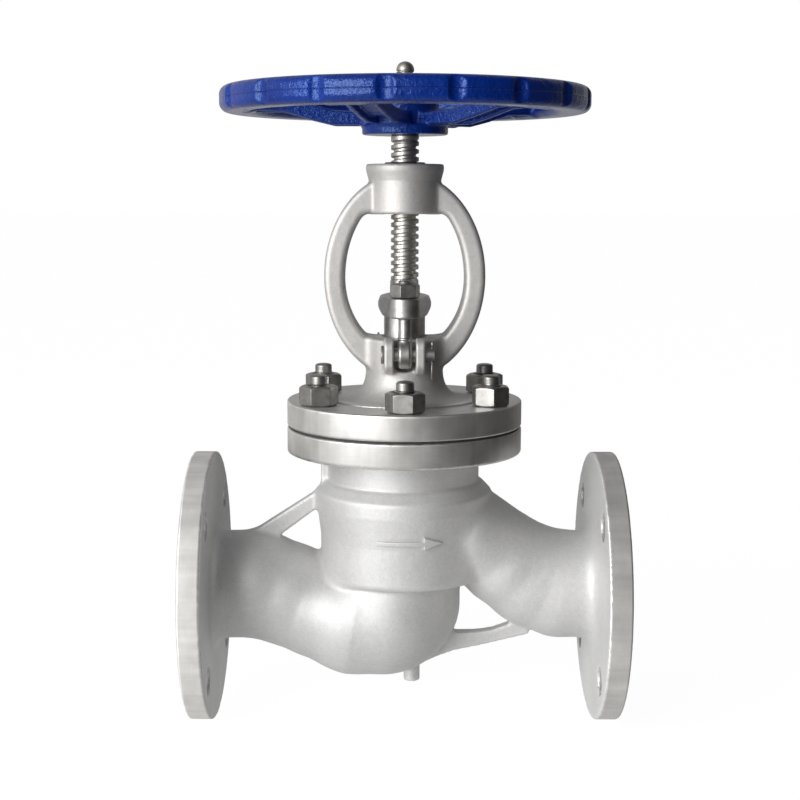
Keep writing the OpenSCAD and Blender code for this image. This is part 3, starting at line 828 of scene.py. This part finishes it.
def cast_steel(name, warmth, bright, metallic):
    """Bead-blasted casting: a fine grain over a slightly uneven skin, rubbed brighter on edges."""
    f = Finish(name)
    grain, mottle, patch = f.noise(0.7, 3), f.noise(3.2, 4), f.noise(38, 2)
    hue = np.array((1, 1 - warmth * 0.5, 1 - warmth))
    low, high = hue * bright, hue * (bright + 0.05)
    colour = f.tint(mottle, low, high)
    worn = f.spread(f.node("ShaderNodeNewGeometry").outputs["Pointiness"], 0.97, 1.12, 0.5, 0.58)
    colour = f.shade(colour, f.maths("MULTIPLY", f.spread(patch, 0.95, 1.04, 0.3, 0.7), worn))
    colour = f.shade(colour, f.spread(grain, 0.92, 1.08, 0.3, 0.7))
    f.set(Base_Color=colour, Metallic=metallic, Roughness=f.spread(mottle, 0.52, 0.6))
    skin = f.bump(f.noise(9, 3), 0.25)
    f.put(f.shader.inputs["Normal"], f.bump(grain, 0.08, 0.6, skin))
    return f.material


def brushed_rim(name, axis, metallic, shine, tone):
    """Turned rim: fine tool lines round the axis, which stretch each highlight across the rim, under
    painted reflection streaks; tone above 1 paints in extra light.
    """
    f = Finish(name)
    lines = f.noise(0.25, 2, tuple(1 if a == axis else 0.02 for a in "XYZ"))
    patch = f.noise(17, 3)
    # Painted reflection: lighter and darker streaks along the axis, standing in for the studio reflected
    # across the rim.
    painted_reflection_bands = f.noise(5, 2, tuple(0.04 if a == axis else 1 for a in "XYZ"))
    colour = f.tint(lines, (0.72, 0.705, 0.685), (0.78, 0.765, 0.745))
    colour = f.shade(colour, f.spread(patch, 0.88, 1.08, 0.3, 0.7))
    # tone scales the painted reflection streaks; above 1 it paints extra light onto the whole rim.
    colour = f.shade(colour, f.spread(painted_reflection_bands, 0.94 * tone, 1.05 * tone, 0.3, 0.7))
    tangent = f.node("ShaderNodeTangent", direction_type="RADIAL", axis=axis).outputs[0]
    f.set(Base_Color=colour, Metallic=metallic, Anisotropic=0.8, Tangent=tangent)
    f.set(Roughness=f.spread(patch, shine, shine + 0.1))
    f.put(f.shader.inputs["Normal"], f.bump(lines, 0.008, 0.5))
    return f.material


def turned_face():
    """Machined flat faces and bores, satin with faint marks."""
    f = Finish("turned_face")
    patch = f.noise(14, 4)
    colour = f.tint(patch, (0.60, 0.595, 0.58), (0.72, 0.715, 0.70))
    f.set(Base_Color=colour, Metallic=0.8, Roughness=f.spread(patch, 0.34, 0.5))
    f.put(f.shader.inputs["Normal"], f.bump(f.noise(0.8, 2), 0.03, 0.5))
    return f.material


def bright_steel(name, low, high, roughness):
    """Bare machined or forged steel with handling marks."""
    f = Finish(name)
    patch, marks = f.noise(5, 4), f.noise(0.9, 2, (1, 1, 0.3))
    f.set(Base_Color=f.tint(patch, low, high), Metallic=1)
    f.set(Roughness=f.spread(marks, roughness, roughness + 0.16))
    f.put(f.shader.inputs["Normal"], f.bump(marks, 0.015, 0.5))
    return f.material


def blue_enamel():
    """Thick glossy paint over a rough casting, with the rim's parting line."""
    f = Finish("blue_enamel")
    peel, sag, tone = f.noise(2.0, 3, rough=0.6), f.noise(9, 2), f.noise(30, 3)
    colour = f.tint(tone, (0.001, 0.018, 0.19), (0.002, 0.03, 0.28))
    f.set(Base_Color=colour, Roughness=0.2, IOR=1.6, Specular_Tint=(0.22, 0.46, 1.0, 1))
    f.set(Coat_Weight=0.4, Coat_IOR=1.45, Coat_Roughness=0.04)
    height = f.node("ShaderNodeSeparateXYZ", {0: f.place}).outputs["Z"]
    above = f.maths("ABSOLUTE", f.maths("SUBTRACT", height, RIM_MIDDLE * MM), 0)
    seam = f.spread(above, 1, 0, 0.1 * MM, 0.5 * MM)
    normal = f.bump(seam, 0.35, 1.0, f.bump(peel, 0.6, 1.0, f.bump(sag, 1.0, 0.7)))
    f.put(f.shader.inputs["Normal"], normal)
    f.put(f.shader.inputs["Coat Normal"], normal)
    return f.material


def graphite():
    f = Finish("graphite")
    fibre = f.noise(0.6, 3)
    f.set(Base_Color=f.tint(fibre, (0.012, 0.012, 0.013), (0.045, 0.045, 0.048)))
    f.set(Roughness=f.spread(fibre, 0.5, 0.75))
    f.put(f.shader.inputs["Normal"], f.bump(fibre, 0.08, 0.7))
    return f.material


CAST = cast_steel("cast_steel", 0.01, 0.68, 0.45)
CAST_BONNET = cast_steel("cast_bonnet_steel", 0.05, 0.61, 0.68)
RIM_Z = brushed_rim("cover_rim", "Z", 0.95, 0.3, 1)
# The pipe flange rims take tone 1.14: painted light, a brighter copy of the rim finish for light that
# falls short on their fronts.
RIM_X = brushed_rim("flange_rim", "X", 0.65, 0.4, 1.14)
FACED = turned_face()
STEM_STEEL = bright_steel("stem_steel", (0.50, 0.48, 0.45), (0.68, 0.66, 0.63), 0.34)
FASTENER = bright_steel("fastener_steel", (0.29, 0.28, 0.27), (0.45, 0.44, 0.42), 0.33)
GLAND_STEEL = bright_steel("gland_steel", (0.41, 0.40, 0.39), (0.58, 0.57, 0.55), 0.33)
BRONZE = bright_steel("bronze", (0.50, 0.37, 0.17), (0.68, 0.52, 0.27), 0.3)
ENAMEL = blue_enamel()
GRAPHITE = graphite()

# ---- assembly ----


def field_piece(name, field, low, high, step, body, materials, slot, nodes, zones=None, **places):
    """Meshes a field between two corners, and puts the piece in place."""
    points, quads, normals = surface(field, low, high, step)
    mesh = new_mesh(name, points, quads, normals)
    made = add_piece(name, mesh, body, materials, slot, nodes, **places)
    if zones is not None:
        paint_faces(mesh, zones)
    return made


def castings():
    field_piece("body_casting", body_with_stud_holes, (-END_X, -FLANGE_R, -FLANGE_R),
                (END_X, FLANGE_R, JOINT_Z), 1.45, "valve_body", [CAST, RIM_Z, FACED, RIM_X],
                "cast_body", ["body"], body_zones)
    field_piece("flow_arrow", arrow_field, (-19, -61, 36), (26, -44, 47), 0.5, "valve_body",
                [CAST], "cast_body", ["body"])
    field_piece("bonnet_casting", bonnet_field, (-COVER_R, -COVER_R, JOINT_Z - 12),
                (COVER_R, COVER_R, BOSS_TOP), 1.05, "valve_body", [CAST_BONNET, RIM_Z, FACED],
                "cast_bonnet", ["bonnet"], bonnet_zones)


def cover_fasteners():
    directions = [STUD_TURN + 360 / STUD_COUNT * i for i in range(STUD_COUNT)]
    nut_turns = [4, 18, -11, 9, -7, 36]
    spots = [(STUD_CIRCLE * math.cos(math.radians(a)), STUD_CIRCLE * math.sin(math.radians(a)), 0)
             for a in directions]
    field_piece("cover_stud", stud_field, (-8, -8, STUD_LOW), (8, 8, STUD_TOP), 0.42, "valve_body",
                [FASTENER], "fastener_steel", ["bonnet_studs"], spots=spots,
                turns=[a * 1.7 for a in directions])
    height = NUT_TOP - COVER_TOP
    lifted = [(x, y, COVER_TOP) for x, y, _ in spots]
    nut = nut_field(COVER_NUT_AF, height, STUD_R)
    field_piece("cover_nut", nut, (-13, -13, 0), (13, 13, height), 0.5, "valve_body", [FASTENER],
                "fastener_steel", ["bonnet_nuts"], spots=lifted, turns=nut_turns)


def handwheel():
    field_piece("wheel", handwheel_field, (-WHEEL_R, -WHEEL_R, WHEEL_LOW),
                (WHEEL_R, WHEEL_R, RIM_TOP), 1.15, "stem_assembly", [ENAMEL], "blue_paint",
                ["handwheel"])
    field_piece("wheel_washer", washer_field, (-14, -14, WASHER_LOW), (14, 14, WASHER_TOP), 0.45,
                "stem_assembly", [FASTENER], "fastener_steel", ["handwheel_washer"])
    height = WHEEL_NUT_TOP - WHEEL_NUT_LOW
    field_piece("wheel_nut", nut_field(18, height, 6), (-11, -11, 0), (11, 11, height), 0.45,
                "stem_assembly", [FASTENER], "fastener_steel", ["handwheel_nut"],
                spots=[(0, 0, WHEEL_NUT_LOW)], turns=[17])


def stem():
    field_piece("stem_bar", stem_field, (-13.5, -13.5, STEM_LOW), (13.5, 13.5, WHEEL_LOW), 0.5,
                "stem_assembly", [STEM_STEEL], "machined_steel", ["stem"])
    field_piece("stem_end", stem_end_field, (-9, -9, WHEEL_LOW - 1), (9, 9, STEM_TOP), 0.45,
                "stem_assembly", [STEM_STEEL], "machined_steel", ["stem"])


def gland_parts():
    field_piece("gland_follower", gland_field, (-18, -39, GLAND_LOW), (18, 39, GLAND_TOP), 0.6,
                "gland_follower", [GLAND_STEEL], "machined_steel", ["gland"])
    length = BOLT_END - HINGE_Z
    bolt = surface(eye_bolt_field, (-6, -10, -10), (6, 10, length), 0.4)
    height = GLAND_NUT_TOP - GLAND_NUT_LOW
    nut = surface(nut_field(GLAND_NUT_AF, height, 5), (-10, -10, 0), (10, 10, height), 0.42)
    pin = surface(hinge_pin_field, (PIN_LOW, -7, -7), (PIN_HIGH, 7, 7), 0.4)
    wire, wire_faces = tube(cotter_path(), 0.78)
    for side, y, reach, turn in (("front", -HINGE_Y, SPLIT_PIN_X, 0),
                                 ("back", HINGE_Y, -SPLIT_PIN_X, 180)):
        spot = [(0, y, HINGE_Z)]
        add_piece(f"eye_bolt_of_{side}", new_mesh("eye_bolt", *bolt), "valve_body", [GLAND_STEEL],
                  "machined_steel", [f"eye_bolt_{side}"], spot, [turn])
        add_piece(f"gland_nut_of_{side}", new_mesh("gland_nut", *nut), f"{side}_gland_nut",
                  [FASTENER], "fastener_steel", [f"gland_nut_{side}"],
                  [(0, y, GLAND_NUT_LOW)], [turn + GLAND_NUT_TURN])
        add_piece(f"hinge_pin_of_{side}", new_mesh("hinge_pin", *pin), "valve_body", [FASTENER],
                  "fastener_steel", [f"hinge_pin_{side}"], spot, [turn])
        mesh = new_mesh("split_pin", wire, wire_faces)
        mesh.set_sharp_from_angle(angle=math.radians(60))
        add_piece(f"split_pin_of_{side}", mesh, "valve_body", [STEM_STEEL], "machined_steel",
                  [f"cotter_pin_{side}"], [(reach, y, HINGE_Z)], [turn])


def packing():
    rings = field_piece("packing", packing_field, (-16, -16, PACK_LOW), (16, 16, PACK_TOP), 0.7,
                        "valve_body", [GRAPHITE], "graphite", ["packing_rings"])[0]
    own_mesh(rings)


def carried_over():
    """CAD nodes whose shape is right: a material each, and a small bevel on their edges."""
    for node, material in (("bonnet_gasket", GRAPHITE), ("stem_nut", BRONZE),
                           ("stem_nut_screw", FASTENER), ("packing_base_ring", GLAND_STEEL),
                           ("disc", FACED), ("disc_nut", FASTENER)):
        piece = frame["nodes"][node]
        piece.data.materials.clear()
        piece.data.materials.append(material)
        bevel = piece.modifiers.new("edges", "BEVEL")
        bevel.width = 0.25 * MM
        bevel.segments = 2
        bevel.limit_method = "ANGLE"
        bevel.angle_limit = math.radians(40)


castings()
cover_fasteners()
handwheel()
stem()
gland_parts()
packing()
carried_over()

# ---- floor, light and camera ----

# Brightness of the studio round the object: direction in degrees from the camera's side, + to the right.
STUDIO = ((-180, 0.50), (-140, 0.45), (-108, 0.52), (-90, 0.62), (-67, 0.95), (-44, 1.0),
          (-27, 0.88), (-7, 0.54), (10, 0.25), (24, 0.10), (40, 0.065), (58, 0.04), (96, 0.035),
          (120, 0.10), (138, 0.24), (160, 0.35), (180, 0.50))
STUDIO_POWER = 0.95
STUDIO_POLES = 0.4                         # share of the brightness left straight up and down


def node_maker(tree):
    """A short call that adds a node to an emptied tree, with its links or values and its settings."""
    tree.nodes.clear()

    def node(kind, links, **settings):
        made = tree.nodes.new(kind)
        for key, value in settings.items():
            setattr(made, key, value)
        for key, value in links.items():
            if isinstance(value, bpy.types.NodeSocket):
                tree.links.new(value, made.inputs[key])
            else:
                made.inputs[key].default_value = value
        return made

    return node


def world_light():
    """The camera sees white; other rays see a studio, bright on the left and front, dim on the right."""
    world = bpy.data.worlds.new("studio")
    bpy.context.scene.world = world
    world.use_nodes = True
    node = node_maker(world.node_tree)
    place = node("ShaderNodeTexCoord", {}).outputs["Generated"]
    parts = node("ShaderNodeSeparateXYZ", {0: place}).outputs
    toward = node("ShaderNodeMath", {0: parts["Y"], 1: -1}, operation="MULTIPLY").outputs[0]
    angle = node("ShaderNodeMath", {0: parts["X"], 1: toward}, operation="ARCTAN2").outputs[0]
    share = node("ShaderNodeMapRange", {"Value": angle, "From Min": -math.pi, "From Max": math.pi})
    ramp = node("ShaderNodeValToRGB", {0: share.outputs[0]})
    stops = ramp.color_ramp.elements
    while len(stops) < len(STUDIO):
        stops.new(0.5)
    for stop, (degrees, value) in zip(stops, STUDIO):
        stop.position = (degrees + 180) / 360
        stop.color = (value, value, value * 0.985, 1)
    power = STUDIO_POWER
    for start, end in ((0.35, 1.0), (0.0, -0.9)):
        links = {"Value": parts["Z"], "From Min": start, "From Max": end, "To Min": 1.0,
                 "To Max": STUDIO_POLES}
        fade = node("ShaderNodeMapRange", links).outputs[0]
        power = node("ShaderNodeMath", {0: power, 1: fade}, operation="MULTIPLY").outputs[0]
    lit = node("ShaderNodeBackground", {0: ramp.outputs[0], "Strength": power})
    plain = node("ShaderNodeBackground", {0: (1, 1, 1, 1)})
    seen = node("ShaderNodeLightPath", {}).outputs["Is Camera Ray"]
    choose = node("ShaderNodeMixShader", {0: seen, 1: lit.outputs[0], 2: plain.outputs[0]})
    node("ShaderNodeOutputWorld", {0: choose.outputs[0]})


def floor():
    """The camera sees a pale floor with a faint shadow; light passes it, with some sent back up."""
    mesh = bpy.data.meshes.new("floor")
    half, z = 30.0, -FLANGE_R * MM
    mesh.from_pydata([(-half, -half, z), (half, -half, z), (half, half, z), (-half, half, z)], [],
                     [(0, 1, 2, 3)])
    plane = bpy.data.objects.new("floor", mesh)
    bpy.context.scene.collection.objects.link(plane)
    material = bpy.data.materials.new("floor")
    material.use_nodes = True
    node = node_maker(material.node_tree)
    matt = node("ShaderNodeBsdfDiffuse", {"Color": (0.8, 0.8, 0.8, 1)}).outputs[0]
    glow = node("ShaderNodeEmission", {"Strength": 1.1}).outputs[0]
    pale = node("ShaderNodeMixShader", {0: 0.88, 1: matt, 2: glow}).outputs[0]
    spot = node("ShaderNodeNewGeometry", {}).outputs["Position"]
    below = (STEM_X * MM - 0.1, -0.1, z)
    away = node("ShaderNodeVectorMath", {0: spot, 1: below}, operation="DISTANCE").outputs["Value"]
    links = {"Value": away, "From Min": 0.7, "From Max": 0.15, "To Max": 0.36}
    fade = node("ShaderNodeMapRange", links, interpolation_type="SMOOTHSTEP").outputs[0]
    bounce = node("ShaderNodeEmission", {"Strength": fade}).outputs[0]
    clear = node("ShaderNodeBsdfTransparent", {}).outputs[0]
    both = node("ShaderNodeAddShader", {0: bounce, 1: clear}).outputs[0]
    seen = node("ShaderNodeLightPath", {}).outputs["Is Camera Ray"]
    choose = node("ShaderNodeMixShader", {0: seen, 1: both, 2: pale}).outputs[0]
    node("ShaderNodeOutputMaterial", {0: choose})
    mesh.materials.append(material)


def softbox(name, place, target, size, power):
    light = bpy.data.lights.new(name, "AREA")
    light.shape = "RECTANGLE"
    light.size, light.size_y = size
    light.energy = power
    lamp = bpy.data.objects.new(name, light)
    bpy.context.scene.collection.objects.link(lamp)
    lamp.location = place
    lamp.rotation_euler = (Vector(place) - Vector(target)).to_track_quat("Z", "Y").to_euler()


def camera():
    """In front of the middle and a little above, looking slightly down."""
    pitch, yaw, roll = math.radians(8.06), math.radians(-0.24), math.radians(0.14)
    lens = bpy.data.cameras.new("camera")
    lens.lens, lens.sensor_width = 65.1, 36
    eye = bpy.data.objects.new("camera", lens)
    bpy.context.scene.collection.objects.link(eye)
    spot = Matrix.Translation(((STEM_X - 6.9) * MM, -957 * MM, 261.8 * MM))
    turn = (Matrix.Rotation(yaw, 4, "Z") @ Matrix.Rotation(math.pi / 2 - pitch, 4, "X")
            @ Matrix.Rotation(roll, 4, "Z"))
    eye.matrix_world = spot @ turn
    bpy.context.scene.camera = eye


world_light()
floor()
softbox("key", (-0.85, -1.2, 0.5), (STEM_X * MM, 0, 0.12), (1.0, 1.2), 19.5)
camera()
bpy.context.scene.view_settings.view_transform = "Standard"
